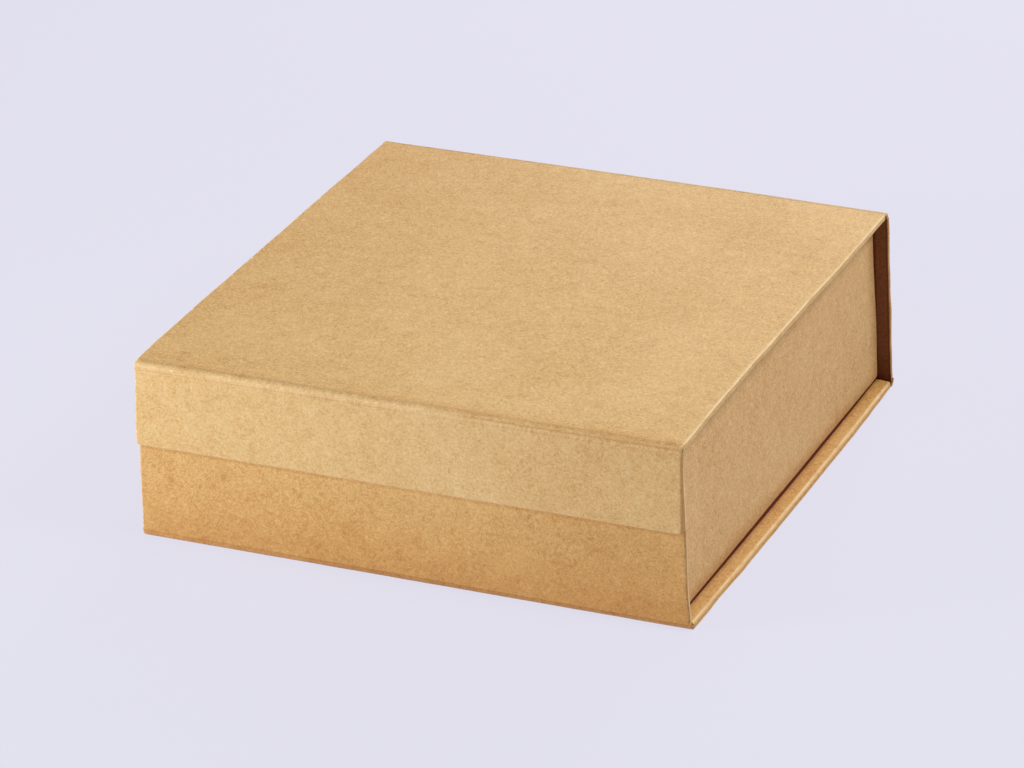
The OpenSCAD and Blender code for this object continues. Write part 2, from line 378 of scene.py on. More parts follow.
def strip(name, section, half, seed, thick=FOLD_T, step=2.6, rim=0.35, bump=0.035, marks=None, rub_and_highlight=None, tip=0.3,
          fold_shade=None, ends=None, heart=0.5):
    """Paper folded between two panels, run from -half to half along X, or between the two ends given. section gives,
    for an x, the points (y, z) of its outer side, which lies to the left, and how far each point's inner side reaches
    in at the two ends, where the paper is turned in. marks, rub_and_highlight and fold_shade give each point's crease
    with painted shade, its rubbing with painted highlight and its painted shade, tip how rubbed the two ends are, and
    heart how much painted shade darkens the turned-in paper there."""
    first, final = ends or (-half, half)
    xs = lines(first, final, step)
    waves = Waves(seed, 10, 90)
    co, wear_and_highlight, crease, dark, ring_ids = [], [], [], [], []
    total = 0
    for x in xs:
        outer, core = section(x)
        m = len(outer)
        d = np.gradient(outer, axis=0)
        d /= np.linalg.norm(d, axis=1)[:, None]
        normal = np.stack([-d[:, 1], d[:, 0]], 1)
        along = np.concatenate([[0], np.cumsum(np.linalg.norm(np.diff(outer, axis=0), axis=1))])
        free = np.sin(np.linspace(0, math.pi, m)) ** 0.7
        core = np.maximum(core, thick)
        end = max(0.0, min(x - first, final - x))
        f = math.sqrt(max(0.0, 1 - (1 - min(end, rim) / rim) ** 2))
        pull = (1 - f) * rim * free
        deep = thick + (core - thick) * (1 - float(smooth(end, 0.5, 1.3)))
        w = (waves(np.full(m, x), along * 4.0) - 1.0) * bump * free
        out = outer + normal * (w - pull)[:, None]
        inn = outer - normal * np.maximum(deep - pull * 0.5, thick * 0.9)[:, None]
        ring = np.concatenate([out, inn[::-1]])
        co.append(np.column_stack([np.full(2 * m, x), ring]))
        edge = 1 - float(smooth(end, 0.1, 0.9))
        near_tip = 1 - float(smooth(end, 0.3, 1.8))
        a = rub_and_highlight(x) if rub_and_highlight else np.zeros(m)
        c = marks(x) if marks else np.zeros(m)
        # rubbing with painted highlight, crease with painted shade, and painted shade in the hollow turned-in ends
        wear_and_highlight.append(np.concatenate([np.maximum(a, near_tip * tip), np.zeros(m)]))
        crease.append(np.concatenate([c * (1 - 0.4 * edge), np.full(m, 0.4 + heart)]))
        dark.append(np.concatenate([fold_shade(x) if fold_shade else np.zeros(m), np.full(m, heart * edge)]))
        ring_ids.append(total + np.arange(2 * m))
        total += 2 * m
    faces = []
    for u, v in zip(ring_ids[:-1], ring_ids[1:]):
        faces += [tuple(f) for f in np.stack([u, np.roll(u, -1), np.roll(v, -1), v], 1)]
    for ids, flip in ((ring_ids[0], False), (ring_ids[-1], True)):
        for k in range(m - 1):
            f = (ids[k], ids[2 * m - 1 - k], ids[2 * m - 2 - k], ids[k + 1])
            faces.append(f[::-1] if flip else f)
    co = np.concatenate(co)
    ob = mesh_object(name, co, faces, {"wear_and_highlight": np.concatenate(wear_and_highlight), "crease": np.concatenate(crease),
                                       "dark": np.concatenate(dark), "inner": np.zeros(len(co))}, {"grain": co})
    return ob


def sheet(name, node, warp, parts=44):
    """A flat sheet of lining as one closed mesh that follows the warp of the panel it is stuck to."""
    lo, hi = node_box(node)
    thin = int(np.argmin(hi - lo))
    a, b = [k for k in range(3) if k != thin]
    ga, gb = (g.ravel() for g in np.meshgrid(np.linspace(lo[a], hi[a], parts + 1), np.linspace(lo[b], hi[b], parts + 1),
                                             indexing="ij"))
    both = []
    for level in (lo[thin], hi[thin]):
        co = np.zeros((len(ga), 3))
        co[:, a], co[:, b], co[:, thin] = ga, gb, level
        both.append(co)
    q = np.arange(len(ga)).reshape(parts + 1, parts + 1)
    under = np.stack([q[:-1, :-1], q[1:, :-1], q[1:, 1:], q[:-1, 1:]], -1).reshape(-1, 4)
    over = under[:, ::-1] + len(ga)
    loop = np.concatenate([q[:-1, 0], q[-1, :-1], q[:0:-1, -1], q[0, :0:-1]])
    rim = np.stack([loop, loop + len(ga), np.roll(loop, -1) + len(ga), np.roll(loop, -1)], 1)
    ob = mesh_object(name, warp(np.concatenate(both)), [tuple(f) for f in np.concatenate([under, over, rim])])
    ob.data.polygons.foreach_set("use_smooth", [False] * len(ob.data.polygons))
    return ob


def outward(ob):
    """Turns every face outwards."""
    import bmesh
    bm = bmesh.new()
    bm.from_mesh(ob.data)
    bmesh.ops.recalc_face_normals(bm, faces=bm.faces)
    bm.to_mesh(ob.data)
    bm.free()
    ob.data.update()
    return ob


# ---------------------------------------------------------------------------
# Materials
# ---------------------------------------------------------------------------


class Tree:
    """A material's nodes, made and linked in one call each."""

    def __init__(self, name):
        self.mat = bpy.data.materials.new(name)
        self.mat.use_nodes = True
        self.nt = self.mat.node_tree
        self.nt.nodes.clear()
        self.out = self.nt.nodes.new("ShaderNodeOutputMaterial")
        self.bsdf = self.nt.nodes.new("ShaderNodeBsdfPrincipled")
        self.nt.links.new(self.bsdf.outputs[0], self.out.inputs["Surface"])

    def node(self, kind, ins=None, **props):
        n = self.nt.nodes.new(kind)
        for k, v in props.items():
            setattr(n, k, v)
        for k, v in (ins or {}).items():
            self.put(n.inputs[k], v)
        return n

    def put(self, socket, v):
        if hasattr(v, "links") or isinstance(v, bpy.types.NodeSocket):
            self.nt.links.new(v, socket)
        else:
            socket.default_value = v

    def math(self, op, a, b=0.0, c=None, clamp=False):
        n = self.node("ShaderNodeMath", operation=op, use_clamp=clamp)
        self.put(n.inputs[0], a)
        self.put(n.inputs[1], b)
        if c is not None:
            self.put(n.inputs[2], c)
        return n.outputs[0]

    def vec(self, op, a, b=(0, 0, 0), scale=None):
        n = self.node("ShaderNodeVectorMath", operation=op)
        self.put(n.inputs[0], a)
        if scale is None:
            self.put(n.inputs[1], b)
        else:
            self.put(n.inputs["Scale"], scale)
        return n.outputs[0]

    def noise(self, at, scale, detail=2.0, rough=0.5, distort=0.0):
        n = self.node("ShaderNodeTexNoise", {"Scale": scale, "Detail": detail, "Roughness": rough,
                                             "Distortion": distort})
        self.put(n.inputs["Vector"], at)
        return n

    def ramp(self, value, lo, hi, a=0.0, b=1.0, smooth=True):
        n = self.node("ShaderNodeMapRange", interpolation_type="SMOOTHSTEP" if smooth else "LINEAR", clamp=True)
        for k, v in (("Value", value), ("From Min", lo), ("From Max", hi), ("To Min", a), ("To Max", b)):
            self.put(n.inputs[k], v)
        return n.outputs["Result"]

    def mix(self, f, a, b, blend="MIX"):
        n = self.node("ShaderNodeMix", data_type="RGBA", blend_type=blend, clamp_factor=True)
        sock = [s for s in n.inputs if s.type == "RGBA"]
        self.put(n.inputs[0], f)
        self.put(sock[0], a)
        self.put(sock[1], b)
        return [s for s in n.outputs if s.type == "RGBA"][0]

    def attribute(self, name, vector=False):
        n = self.node("ShaderNodeAttribute", attribute_name=name)
        return n.outputs["Vector"] if vector else n.outputs["Fac"]


def kraft(name, tint=(1, 1, 1), shift=0.0, has_marks=True, depth=1.0, rough=0.74, wear_and_highlight_gain=1.0, fold=1.0, gaps=(),
          painted_shade=(), grey_shadow=(), relief=1.0, deep=(0.175, 0.043, 0.006), gloss=0.42):
    """Unbleached kraft wrap: cloudy pulp, curly fibres, fine grain, a few dark shives and pale flecks, with edges
    lightened by rubbing and by painted highlight, and creases darkened by creasing and by painted shade, where the mesh
    marks them.
    gaps and painted_shade are ranges of the row frame's millimetres, each an axis, two ends, an amount, whether it
    holds for inner faces alone, and how soft its ends are: the first lie in a gap between panels and are painted dark
    as shade, the second are painted shade where shadow falls, and grey_shadow is painted shadow like them but grey.
    depth is the contrast of the fine grain and relief its height, deep is the colour of the painted shade in a gap."""
    g = Tree(name)
    if has_marks:
        p = g.attribute("grain", True)
    else:
        tc = g.node("ShaderNodeTexCoord")
        p = g.vec("SCALE", tc.outputs["Object"], scale=1000.0)
    p = g.vec("ADD", p, (shift, shift * 0.7, shift * 1.3))
    # the pulp is laid in swirls, so the finer patterns are drawn on bent coordinates
    bend = g.noise(p, 0.16, 2.0)
    off = g.vec("SUBTRACT", bend.outputs["Color"], (0.5, 0.5, 0.5))
    q = g.vec("ADD", p, g.vec("SCALE", off, scale=5.0))
    cloud = g.noise(p, 0.022, 3.0, 0.5).outputs["Fac"]
    blotch = g.noise(q, 0.17, 3.0, 0.55).outputs["Fac"]
    pulp = g.noise(q, 0.95, 4.0, 0.62, 0.6).outputs["Fac"]
    fine = g.noise(p, 2.5, 3.0, 0.6).outputs["Fac"]
    # fibres: thin level lines of a noise, kept in short pieces
    line1 = g.math("ABSOLUTE", g.math("SUBTRACT", g.noise(q, 0.33, 1.0, 0.5, 1.4).outputs["Fac"], 0.5))
    gate1 = g.ramp(g.noise(p, 0.28, 1.0).outputs["Fac"], 0.52, 0.60)
    dark_fibre = g.math("MULTIPLY", g.ramp(line1, 0.0, 0.018, 1.0, 0.0), gate1)
    line2 = g.math("ABSOLUTE", g.math("SUBTRACT", g.noise(g.vec("ADD", q, (31.0, 17.0, 5.0)), 0.40, 1.0, 0.5, 1.4).outputs["Fac"], 0.5))
    gate2 = g.ramp(g.noise(g.vec("ADD", p, (9.0, 3.0, 23.0)), 0.30, 1.0).outputs["Fac"], 0.50, 0.60)
    pale_fibre = g.math("MULTIPLY", g.ramp(line2, 0.0, 0.020, 1.0, 0.0), gate2)
    # shives and flecks
    v1 = g.node("ShaderNodeTexVoronoi", {"Scale": 0.21, "Randomness": 1.0})
    g.put(v1.inputs["Vector"], g.vec("ADD", q, g.vec("SCALE", off, scale=3.0)))
    pick1 = g.ramp(g.node("ShaderNodeSeparateColor", {"Color": v1.outputs["Color"]}).outputs[0], 0.62, 0.66)
    shive = g.math("MULTIPLY", g.ramp(v1.outputs["Distance"], 0.04, 0.10, 1.0, 0.0), pick1)
    v2 = g.node("ShaderNodeTexVoronoi", {"Scale": 0.27, "Randomness": 1.0})
    g.put(v2.inputs["Vector"], g.vec("ADD", q, (50.0, 20.0, 70.0)))
    pick2 = g.ramp(g.node("ShaderNodeSeparateColor", {"Color": v2.outputs["Color"]}).outputs[0], 0.60, 0.64)
    fleck = g.math("MULTIPLY", g.ramp(v2.outputs["Distance"], 0.05, 0.13, 1.0, 0.0), pick2)

    def around(x, w):
        return g.math("MULTIPLY", g.math("SUBTRACT", x, 0.5), w * depth)

    tone = g.math("ADD", around(cloud, 0.26 / depth), around(blotch, 0.34 / depth))
    tone = g.math("ADD", tone, around(pulp, 1.10))
    tone = g.math("ADD", tone, around(fine, 1.05))
    tone = g.math("SUBTRACT", tone, g.math("MULTIPLY", dark_fibre, 0.085 * depth))
    tone = g.math("ADD", tone, g.math("MULTIPLY", pale_fibre, 0.12 * depth))
    tone = g.math("SUBTRACT", tone, g.math("MULTIPLY", shive, 0.17 * depth))
    tone = g.math("ADD", tone, g.math("MULTIPLY", fleck, 0.12 * depth))
    tone = g.math("ADD", tone, 0.5)
    ramp = g.node("ShaderNodeValToRGB", {"Fac": tone})
    cr = ramp.color_ramp
    base = np.array([0.700, 0.455, 0.212]) * np.array(tint)
    cr.elements[0].position = 0.18
    cr.elements[0].color = (*(base * (0.73, 0.55, 0.30)), 1)
    cr.elements[1].position = 0.82
    cr.elements[1].color = (*np.minimum(base * (1.18, 1.34, 1.70), 1), 1)
    e = cr.elements.new(0.5)
    e.color = (*base, 1)
    colour = ramp.outputs["Color"]
    warm = g.noise(g.vec("ADD", q, (77.0, 41.0, 13.0)), 0.30, 4.0, 0.65).outputs["Fac"]
    colour = g.mix(g.ramp(warm, 0.36, 0.64), colour, (1.0, 0.972, 0.925, 1), "MULTIPLY")
    roughness = g.ramp(blotch, 0.3, 0.7, rough - 0.06, rough + 0.08, False)
    if has_marks:
        # Edges lightened towards pale kraft: rubbed paper, and painted highlight where they face the light
        wear_and_highlight = g.attribute("wear_and_highlight")
        rub_and_highlight = g.ramp(g.noise(p, 0.11, 3.0, 0.6).outputs["Fac"], 0.30, 0.62)
        amount = g.math("MULTIPLY", g.math("MULTIPLY", wear_and_highlight, g.math("ADD", g.math("MULTIPLY", rub_and_highlight, 0.50), 0.45)), wear_and_highlight_gain, clamp=True)
        colour = g.mix(amount, colour, (0.99, 0.72, 0.40, 1))
        roughness = g.math("SUBTRACT", roughness, g.math("MULTIPLY", amount, 0.16))
        # Creases, hollows and shaded edge rows darkened: partly creased paper, mostly painted shade, with painted shade
        # gradients across some faces
        crease = g.math("MULTIPLY", g.attribute("crease"), fold, clamp=True)
        colour = g.mix(crease, colour, (0.88, 0.70, 0.48, 1), "MULTIPLY")
        part = g.node("ShaderNodeSeparateXYZ", {"Vector": g.attribute("grain", True)}).outputs

        def ranges(found, value):
            for axis, lo, hi, much, inner_only, soft in found:
                v = g.math("ABSOLUTE", part[axis]) if axis == 0 else part[axis]
                band = g.math("MULTIPLY", g.ramp(v, lo - soft, lo + soft), g.ramp(v, hi - soft, hi + soft, 1.0, 0.0))
                if inner_only:
                    band = g.math("MULTIPLY", band, g.attribute("inner"))
                value = g.math("MAXIMUM", value, g.math("MULTIPLY", band, much))
            return value

        # Painted shade in bands where shadow falls
        if painted_shade:
            colour = g.mix(ranges(painted_shade, 0.0), colour, (0.66, 0.50, 0.33, 1), "MULTIPLY")
        # Painted grey shadow below an overhang
        if grey_shadow:
            colour = g.mix(ranges(grey_shadow, 0.0), colour, (0.70, 0.69, 0.67, 1), "MULTIPLY")
        # Painted shade on shaded edge rows, fold undersides and hollow fold ends
        colour = g.mix(g.attribute("dark"), colour, (0.34, 0.17, 0.07, 1), "MULTIPLY")
        # Painted shade in gaps between panels
        if gaps:
            colour = g.mix(ranges(gaps, 0.0), colour, (*deep, 1), "MULTIPLY")
    height = g.math("ADD", g.math("MULTIPLY", pulp, 0.55), g.math("MULTIPLY", fine, 0.38))
    height = g.math("ADD", height, g.math("MULTIPLY", blotch, 0.35))
    height = g.math("ADD", height, g.math("MULTIPLY", pale_fibre, 0.05))
    height = g.math("SUBTRACT", height, g.math("MULTIPLY", dark_fibre, 0.05))
    height = g.math("SUBTRACT", height, g.math("MULTIPLY", shive, 0.08))
    bump = g.node("ShaderNodeBump", {"Strength": 0.55, "Distance": 0.00011 * relief, "Height": height})
    g.put(g.bsdf.inputs["Base Color"], colour)
    g.put(g.bsdf.inputs["Roughness"], roughness)
    g.put(g.bsdf.inputs["Normal"], bump.outputs["Normal"])
    g.bsdf.inputs["Specular IOR Level"].default_value = gloss
    g.bsdf.inputs["Sheen Weight"].default_value = 0.05
    g.bsdf.inputs["Sheen Roughness"].default_value = 0.5
    return g.mat


def lining(name, shift):
    """Smoother kraft lining paper, with faint machine lines along X."""
    g = Tree(name)
    tc = g.node("ShaderNodeTexCoord")
    p = g.vec("ADD", g.vec("SCALE", tc.outputs["Object"], scale=1000.0), (shift, -shift, shift * 0.4))
    long = g.vec("MULTIPLY", p, (0.25, 1.0, 1.0))
    cloud = g.noise(p, 0.03, 3.0).outputs["Fac"]
    grainy = g.noise(long, 0.9, 3.0, 0.6, 0.4).outputs["Fac"]
    fine = g.noise(p, 2.6, 3.0, 0.6).outputs["Fac"]
    machine = g.noise(g.vec("MULTIPLY", p, (0.02, 1.0, 1.0)), 0.8, 2.0).outputs["Fac"]
    tone = g.math("ADD", g.math("MULTIPLY", g.math("SUBTRACT", cloud, 0.5), 0.25), 0.5)
    for x, w in ((grainy, 0.8), (fine, 0.7), (machine, 0.25)):
        tone = g.math("ADD", tone, g.math("MULTIPLY", g.math("SUBTRACT", x, 0.5), w))
    ramp = g.node("ShaderNodeValToRGB", {"Fac": tone})
    cr = ramp.color_ramp
    cr.elements[0].position, cr.elements[0].color = 0.2, (0.44, 0.27, 0.11, 1)
    cr.elements[1].position, cr.elements[1].color = 0.8, (0.82, 0.58, 0.31, 1)
    e = cr.elements.new(0.5)
    e.color = (0.65, 0.42, 0.195, 1)
    bump = g.node("ShaderNodeBump", {"Strength": 0.4, "Distance": 0.00012,
                                     "Height": g.math("ADD", g.math("MULTIPLY", grainy, 0.6), g.math("MULTIPLY", fine, 0.4))})
    g.put(g.bsdf.inputs["Base Color"], ramp.outputs["Color"])
    g.put(g.bsdf.inputs["Roughness"], g.ramp(grainy, 0.3, 0.7, 0.70, 0.82, False))
    g.put(g.bsdf.inputs["Normal"], bump.outputs["Normal"])
    g.bsdf.inputs["Specular IOR Level"].default_value = 0.4
    return g.mat


def tape_paper(name):
    """Off-white carrier of double-sided tape: milky film with faint lengthwise streaks."""
    g = Tree(name)
    tc = g.node("ShaderNodeTexCoord")
    p = g.vec("SCALE", tc.outputs["Object"], scale=1000.0)
    streak = g.noise(g.vec("MULTIPLY", p, (2.0, 1.0, 0.05)), 0.9, 3.0).outputs["Fac"]
    cloudy = g.noise(p, 0.35, 3.0).outputs["Fac"]
    tone = g.math("ADD", g.math("MULTIPLY", streak, 0.5), g.math("MULTIPLY", cloudy, 0.5))
    g.put(g.bsdf.inputs["Base Color"], g.mix(g.ramp(tone, 0.35, 0.65), (0.70, 0.68, 0.60, 1), (0.82, 0.81, 0.75, 1)))
    g.put(g.bsdf.inputs["Roughness"], g.ramp(cloudy, 0.35, 0.65, 0.32, 0.48, False))
    bump = g.node("ShaderNodeBump", {"Strength": 0.3, "Distance": 0.0001, "Height": tone})
    g.put(g.bsdf.inputs["Normal"], bump.outputs["Normal"])
    return g.mat


def nickel(name):
    """Nickel plating with a dull bloom and small streaky scuffs."""
    g = Tree(name)
    tc = g.node("ShaderNodeTexCoord")
    p = g.vec("SCALE", tc.outputs["Object"], scale=1000.0)
    bloom = g.noise(p, 0.5, 4.0, 0.6).outputs["Fac"]
    scuff = g.noise(g.vec("MULTIPLY", p, (6.0, 1.0, 0.6)), 1.2, 3.0, 0.6).outputs["Fac"]
    g.put(g.bsdf.inputs["Base Color"], g.mix(g.ramp(bloom, 0.35, 0.65), (0.50, 0.49, 0.48, 1), (0.66, 0.66, 0.66, 1)))
    g.bsdf.inputs["Metallic"].default_value = 1.0
    g.put(g.bsdf.inputs["Roughness"], g.ramp(scuff, 0.3, 0.7, 0.24, 0.42, False))
    bump = g.node("ShaderNodeBump", {"Strength": 0.3, "Distance": 0.00006, "Height": scuff})
    g.put(g.bsdf.inputs["Normal"], bump.outputs["Normal"])
    return g.mat


def dress(ob, mat):
    if ob.data.materials:
        for k in range(len(ob.data.materials)):
            ob.data.materials[k] = mat
    else:
        ob.data.materials.append(mat)


# ---------------------------------------------------------------------------
# The panels, each where its solid is
# ---------------------------------------------------------------------------

X, Y, Z = np.array([1.0, 0, 0]), np.array([0, 1.0, 0]), np.array([0, 0, 1.0])
made = {}


def keep(ob, body, node, mat, slot="kraft_wrap"):
    outward(ob)
    dress(ob, mat)
    if body:
        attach(ob, body)
    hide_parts(node)
    made[node] = ob
    return ob


# Each panel's tint is painted light and shade: the same kraft made lighter, darker, warmer or cooler for how light
# falls on that panel.
m_lid = kraft("kraft_lid", tint=(1.082, 1.043, 0.865), depth=0.97)
m_flap = kraft("kraft_flap", tint=(0.946, 0.940, 0.850), depth=0.78)
# Front wall: painted shade just below the flap and towards the bottom.
m_front = kraft("kraft_front", tint=(0.89, 0.80, 0.595), depth=0.95, painted_shade=[(2, 38.3, 41.0, 0.3, False, 0.4), (2, -20.0, 14.0, 0.2, False, 12.0)])
# Back panel: painted shade towards the bottom of its inner side, and its ends beside the side walls painted dark as
# shade in the gaps.
m_back = kraft("kraft_back", tint=(0.97, 0.93, 0.84), gloss=0.22, deep=(0.175, 0.050, 0.004),
               painted_shade=[(2, -30.0, 12.0, 0.9, True, 10.0)],
               gaps=[(0, 106.2, 113.2, 0.92, True, 0.8), (0, 105.6, 108.4, 1.0, True, 1.0), (2, 0.0, 8.0, 1.0, True, 4.5)])
# Base: painted dark shade under the side walls, and painted shade fading out across the ledges beside them.
m_base = kraft("kraft_base", tint=(1.09, 0.969, 0.748), gaps=[(0, 90.0, 107.0, 1.0, False, 0.12)], deep=(0.28, 0.043, 0.004),
               painted_shade=[(0, 90.0, 108.0, 0.62, False, 1.2)])
# Side walls: painted shade lines in the gaps at the bottom and under the lid, painted shade towards the bottom and the
# back edge, and a grey painted shadow below the lid's overhang.
m_side = kraft("kraft_side", tint=(1.035, 0.963, 0.83), shift=140.0, depth=1.05, relief=0.8, deep=(0.27, 0.043, 0.004),
               gaps=[(2, 3.0, 3.18, 0.9, False, 0.12), (2, 73.6, 75.0, 0.6, False, 0.4)],
               painted_shade=[(2, 0.0, 7.0, 0.6, False, 4.5), (1, 108.0, 120.0, 0.5, False, 7.0)],
               grey_shadow=[(2, 64.8, 80.0, 0.5, False, 2.7)])

# Rows of a free edge with painted shade, painted highlight on rubbed paper and brown painted shade: five round the
# outer corner, three across the end, four round the inner one
LID_SHADE = (0, 0, 0, 0, 0, 0.04, 0.08, 0.04, 0, 0, 0.1, 0.3, 0.3)
LID_GLEAM = (0.5, 1.0, 1.0, 0.8, 0.1, 0, 0, 0, 0, 0, 0, 0, 0)
LID_SHADE_BROWN = (0, 0, 0, 0, 0.15, 0.1, 0.05, 0.05, 0.1, 0.3, 0.6, 0.8, 0.3)
FLAP_SHADE = (0, 0, 0, 0.2, 0.4, 0.4, 0.2, 0.15, 0.15, 0, 0, 0, 0)
FLAP_GLEAM = (0,) * 13
FLAP_SHADE_BROWN = (0, 0.25, 0.6, 0.9, 1.0, 0.9, 0.9, 1.0, 1.0, 0.8, 0.5, 0.3, 0)
WALL_SHADE = (0, 0, 0, 0.2, 0.5, 0.2, 0, 0, 0, 0, 0, 0, 0)
WALL_GLEAM = (0, 0, 0, 0, 0, 0.3, 0.5, 0.65, 0.65, 0.5, 0.3, 0.1, 0)
WALL_SHADE_BROWN = (0, 0.1, 0.3, 0.8, 1.0, 0.6, 0.2, 0, 0, 0, 0, 0, 0)
BACK_SHADE = (0, 0, 0, 0.05, 0.12, 0.18, 0.25, 0.25, 0.25, 0.25, 0.3, 0.4, 0.6)
BACK_SHADE_BROWN = (0, 0.2, 0.4, 0.6, 0.7, 0.7, 0.7, 0.7, 0.7, 0.7, 0.7, 0.7, 0.7)
BASE_SHADE = (0, 0, 0, 0, 0.1, 0.2, 0.25, 0.2, 0.15, 0.2, 0.2, 0, 0)
BASE_GLEAM = (0.9, 1.0, 0.9, 0.35, 0, 0, 0, 0, 0, 0, 0, 0, 0)


def sag(x):
    """The lid's front edge lies lower at the left, with the fold and the flap."""
    return -0.9 + 0.4 * np.clip((np.asarray(x, float) + 112) / 224, 0, 1)


def lean(z, lo, hi):
    """The right side leans in towards the rim."""
    return smooth(z, lo, hi)


# Lid: outer face up, a along X, b along Y
lo, hi = node_box("lid_panel")
LID_LO, LID_HI = lo, hi


# how far the lid's left edge lies inwards, from the front to the back
LEFT_V = (0.0, 0.07, 0.26, 0.38, 0.5, 0.62, 0.74, 0.86, 1.0)
LEFT_IN = (0.7, 0.1, 0.45, 0.58, 0.65, 0.5, 0.4, 0.6, 0.85)


def lid_warp(p):
    p = p.copy()
    u = p[:, 0] / (LID_HI[0] - LID_LO[0]) * 2
    v = np.clip((p[:, 1] - LID_LO[1]) / (LID_HI[1] - LID_LO[1]), 0, 1)
    crown = 0.38 * (1 - u ** 2) * smooth(v, 0.15, 1.0) + 0.16 * (1 - u ** 2) * np.sin(v * math.pi)
    twist = v ** 2 * (0.5 * np.maximum(-u, 0) - 0.35 * np.maximum(u, 0) - 0.35 * smooth(u, 0.4, 0.75))
    p[:, 2] += crown + twist + sag(p[:, 0]) * (1 - smooth(v, 0, 0.35))
    p[:, 0] -= smooth(u, 0.3, 1) * (0.8 + 0.75 * smooth(v, 0, 0.2) - 0.3 * smooth(v, 0.6, 0.8) + 0.5 * smooth(v, 0.8, 0.95))
    p[:, 0] += smooth(-u, 0.3, 1) * np.interp(v, LEFT_V, LEFT_IN)
    return p


# Lid: painted shade over its left part and near the front fold, and a painted highlight along its right edge on rubbed
# paper.
keep(board("lid_board", lo, X, Y, hi[0] - lo[0], hi[1] - lo[1], 11, folds="b- b+", wobble=0.19,
           dips={"b-": 0.10, "b+": 0.03}, warp=lid_warp, rub_and_highlight={"a+": 0.3, "a-": 0.2},
           fade={"b-": (lambda a: 0.35 + 0.2 * smooth(a, 60, 150), 4.5), "b+": (0.12, 1.5)},
           shade={"a+": LID_SHADE, "a-": LID_SHADE}, gleam={"a+": LID_GLEAM}, shade_brown={"a+": LID_SHADE_BROWN, "a-": LID_SHADE_BROWN},
           tone=lambda a, b: 0.2 * (1 - smooth(a, 0, 110))),
     "lid", "lid_panel", m_lid)

# Flap: outer face towards -Y, a along X, b along Z
lo, hi = node_box("flap_panel")
FLAP_LO, FLAP_HI = lo, hi


def flap_warp(p):
    p = p.copy()
    down = 1 - np.clip((p[:, 2] - FLAP_LO[2]) / (FLAP_HI[2] - FLAP_LO[2]), 0, 1)
    p[:, 1] -= 0.30 * down ** 2 * smooth(p[:, 0], 40, 112)
    p[:, 2] += sag(p[:, 0])
    u = p[:, 0] / 112.0
    p[:, 0] += smooth(-u, 0.3, 1) * (0.7 - 1.1 * down) - smooth(u, 0.3, 1) * (0.8 - 0.15 * down)
    return p


# Flap: painted shade growing towards its right part and near the fold, and painted shade on the rows of its free edges.
keep(board("flap_board", (lo[0], hi[1], lo[2]), X, Z, hi[0] - lo[0], hi[2] - lo[2], 23, folds="b+",
           dips={"b+": 0.0}, lead=3.0, swell=0.05, warp=flap_warp, rub_and_highlight={"a+": 0.0, "a-": 0.0, "b-": 0.0},
           fade={"b+": (lambda a: 0.15 * smooth(a, 90, 190), 1.8)},
           shade={"a+": FLAP_SHADE, "a-": FLAP_SHADE, "b-": FLAP_SHADE}, gleam={"a+": FLAP_GLEAM},
           shade_brown={"a+": FLAP_SHADE_BROWN, "b-": FLAP_SHADE_BROWN}, tone=lambda a, b: 0.12 * smooth(a, 110, 224),
           holes=[(x - lo[0], 12.0, 6.2, 1.6) for x in (-62.0, 62.0)]), "flap", "flap_panel", m_flap)

def tuck(p):
    """Lower a wall's top where the warped lid and its lining would press into it."""
    top = np.full(len(p), LID_LO[2] - 0.25)
    drop = np.clip(0.1 - (lid_warp(np.column_stack([p[:, 0], p[:, 1], top]))[:, 2] - top), 0, 1.2)
    drop = np.maximum(drop - 0.2 * smooth(abs(p[:, 0]), 108, 109.5), 0)
    p[:, 2] -= drop * smooth(p[:, 2], 55, 73.5)
    return p


# Front wall: outer face towards -Y. Its ends flare a little towards the base fold, where the wrap is pulled round
lo, hi = node_box("front_wall")
FW_LO, FW_HI = lo, hi


def front_warp(p):
    p = tuck(p.copy())
    x, z = p[:, 0].copy(), p[:, 2]
    low = 1 - smooth(z, FW_LO[2] - 2, FW_LO[2] + 26)
    near = smooth(abs(x), 90, 112)
    p[:, 0] += np.sign(x) * 0.6 * low ** 1.5 * near
    p[:, 0] += smooth(x, 60, 112) * (0.45 * (1 - smooth(z, 2.6, 22)) - 2.35 * np.clip(z / 74, 0, 1) ** 1.5)
    p[:, 0] -= smooth(-x, 90, 112) * (0.45 * (1 - smooth(z, 36, 60)) + 0.45 * np.exp(-((z - 20) / 12) ** 2))
    p[:, 1] -= 0.8 * smooth(x, -60, 113) * (1 - smooth(z, 2.6, 34))
    return p


# Front wall: painted shade towards the right, the bottom and the base fold, with painted shade and a painted highlight
# on the rows of its right end.
keep(board("front_wall_board", (lo[0], hi[1], lo[2]), X, Z, hi[0] - lo[0], hi[2] - lo[2], 37, folds="b-",
           dips={"b-": 0.10}, lead=4.0, swell=0.06, warp=front_warp, rub_and_highlight={"a+": 0.0, "a-": 0.0, "b+": 0.3},
           fade={"b-": (lambda a: 0.3 + 0.35 * smooth(a, 60, 180), 3.5)},
           shade={"a+": WALL_SHADE, "a-": WALL_SHADE}, gleam={"a+": WALL_GLEAM}, shade_brown={"a+": WALL_SHADE_BROWN},
           tone=lambda a, b: 0.25 * smooth(a, 60, 226) + 0.5 * (1 - np.clip((b - 2) / 33, 0, 1)),
           holes=[(x - lo[0], 53.5 - lo[2], 6.2, 1.6) for x in (-62.0, 62.0)]), "tray", "front_wall", m_front)

# Back panel: outer face towards +Y, a along -X, b along Z
lo, hi = node_box("back_panel")


def back_warp(p):
    p = p.copy()
    x, z = p[:, 0].copy(), p[:, 2]
    p[:, 0] -= smooth(-x, 70, 113) * (0.45 - 1.55 * smooth(z, 0, 74))
    p[:, 0] += smooth(x, 70, 113) * (0.45 - 2.55 * np.clip(z / 74, 0, 1) ** 0.8)
    return p


